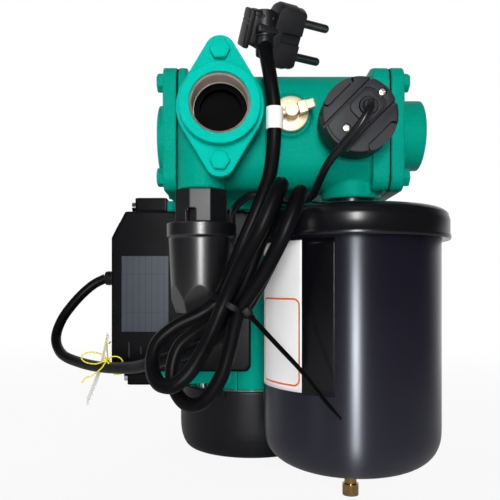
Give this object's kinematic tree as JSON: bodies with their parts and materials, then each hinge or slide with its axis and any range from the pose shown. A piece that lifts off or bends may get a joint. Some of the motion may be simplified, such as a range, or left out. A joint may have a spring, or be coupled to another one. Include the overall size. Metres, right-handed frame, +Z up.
{
  "type": "centrifugal water pump",
  "caption": "Household booster pump: upright motor, green cast head with flanged suction and threaded outlet, strainer, pressure switch, pressure tank, terminal box and tied mains lead.",
  "frame": {"origin": "on the motor axis, in the plane of the fan cover's bottom face that the pump stands on", "axes": "+Z up along the motor axis, -Y towards the suction flange and the viewer, +X towards the threaded outlet"},
  "size_m": [0.2833, 0.277, 0.2949],
  "materials": {
    "green_paint": "gloss enamel over a sand casting",
    "black_cover": "fine moulded satin",
    "tank_paint": "dark gloss enamel",
    "lid_paint": "gloss black enamel",
    "steel": "plain turned steel",
    "bright_screws": "bright plated",
    "core_steel": "stacked laminations",
    "shield_alloy": "as cast",
    "copper_wire": "enamelled wire",
    "brass": "turned, satin",
    "seal_ceramic": "lapped",
    "rubber": "matte",
    "lead_rubber": "satin sheath",
    "white_plastic": "plain",
    "fan_plastic": "moulded"
  },
  "bodies": {
    "pump": {"fan_cover": "black_cover", "fan_cover_screws": "steel", "lower_end_shield": "shield_alloy", "motor_frame": "green_paint", "motor_tie_bolts": "steel", "stator_core": "core_steel", "stator_windings": "copper_wire", "bearing_outer_rings": "steel", "motor_bracket": "green_paint", "casing_gasket": "rubber", "casing_bolts": "steel", "seal_seat": "seal_ceramic", "pump_body": "green_paint", "left_end_cover": "green_paint", "outlet_cover": "green_paint", "end_gaskets": "rubber", "end_cover_bolts": "green_paint", "suction_flange": "green_paint", "suction_gasket": "rubber", "suction_bolts": "green_paint", "valve_seat": "black_cover", "valve_pin": "steel", "strainer_head": "black_cover", "switch_base": "black_cover", "switch_cap": "black_cover", "switch_screws": "steel", "switch_grommet": "rubber", "switch_lead": "lead_rubber", "tank_nipple": "lid_paint", "tank_lid": "lid_paint", "tank_shell": "tank_paint", "tank_diaphragm": "rubber", "gas_valve": "brass", "gas_valve_cap": "brass", "terminal_box": "black_cover", "box_screws": "bright_screws", "capacitor": "shield_alloy", "terminal_block": "white_plastic", "cord_gland": "black_cover", "power_cord": "lead_rubber", "cord_sleeve": "white_plastic", "cord_plug": "black_cover", "plug_pins": "steel", "cable_tie": "black_cover", "hang_tag": "white_plastic"},
    "rotor": {"cooling_fan": "fan_plastic", "rotor_core": "core_steel", "motor_shaft": "steel", "bearing_inner_rings": "steel", "bearing_balls": "steel", "seal_ring": "seal_ceramic", "seal_bellows": "rubber", "impeller": "brass", "impeller_nut": "steel"},
    "flap": {"valve_flap": "rubber"},
    "bowl": {"strainer_bowl": "black_cover", "strainer_basket": "steel"},
    "washer": {"priming_washer": "rubber"},
    "plug": {"priming_plug": "brass"},
    "plunger": {"switch_plunger": "white_plastic"}
  },
  "joints": [
    {"name": "rotor_spin", "type": "hinge", "parent": "pump", "child": "rotor", "pos_m": [0, 0, 0.1], "axis": [0, 0, 1], "continuous": true},
    {"name": "flap_swing", "type": "hinge", "parent": "pump", "child": "flap", "pos_m": [-0.01875, -0.16285, 0.246], "axis": [1, 0, 0], "range_deg": [0, 50]},
    {"name": "bowl_turn", "type": "hinge", "parent": "pump", "child": "bowl", "pos_m": [-0.0305, -0.156, 0.15], "axis": [0, 0, 1], "range_deg": [0, 30]},
    {"name": "priming_travel", "type": "slide", "parent": "pump", "child": "washer", "axis": [0, -1, 0], "range_m": [0, 0.002]},
    {"name": "priming_turn", "type": "hinge", "parent": "washer", "child": "plug", "pos_m": [0.0215, -0.16, 0.2305], "axis": [0, -1, 0], "range_deg": [0, 360]},
    {"name": "plunger_slide", "type": "slide", "parent": "pump", "child": "plunger", "axis": [0, -1, 0], "range_m": [0, 0.0015]}
  ],
  "couplings": [
    {"joint": "priming_travel", "follows": "priming_turn", "m_per_rad": 0.00023873}
  ]
}
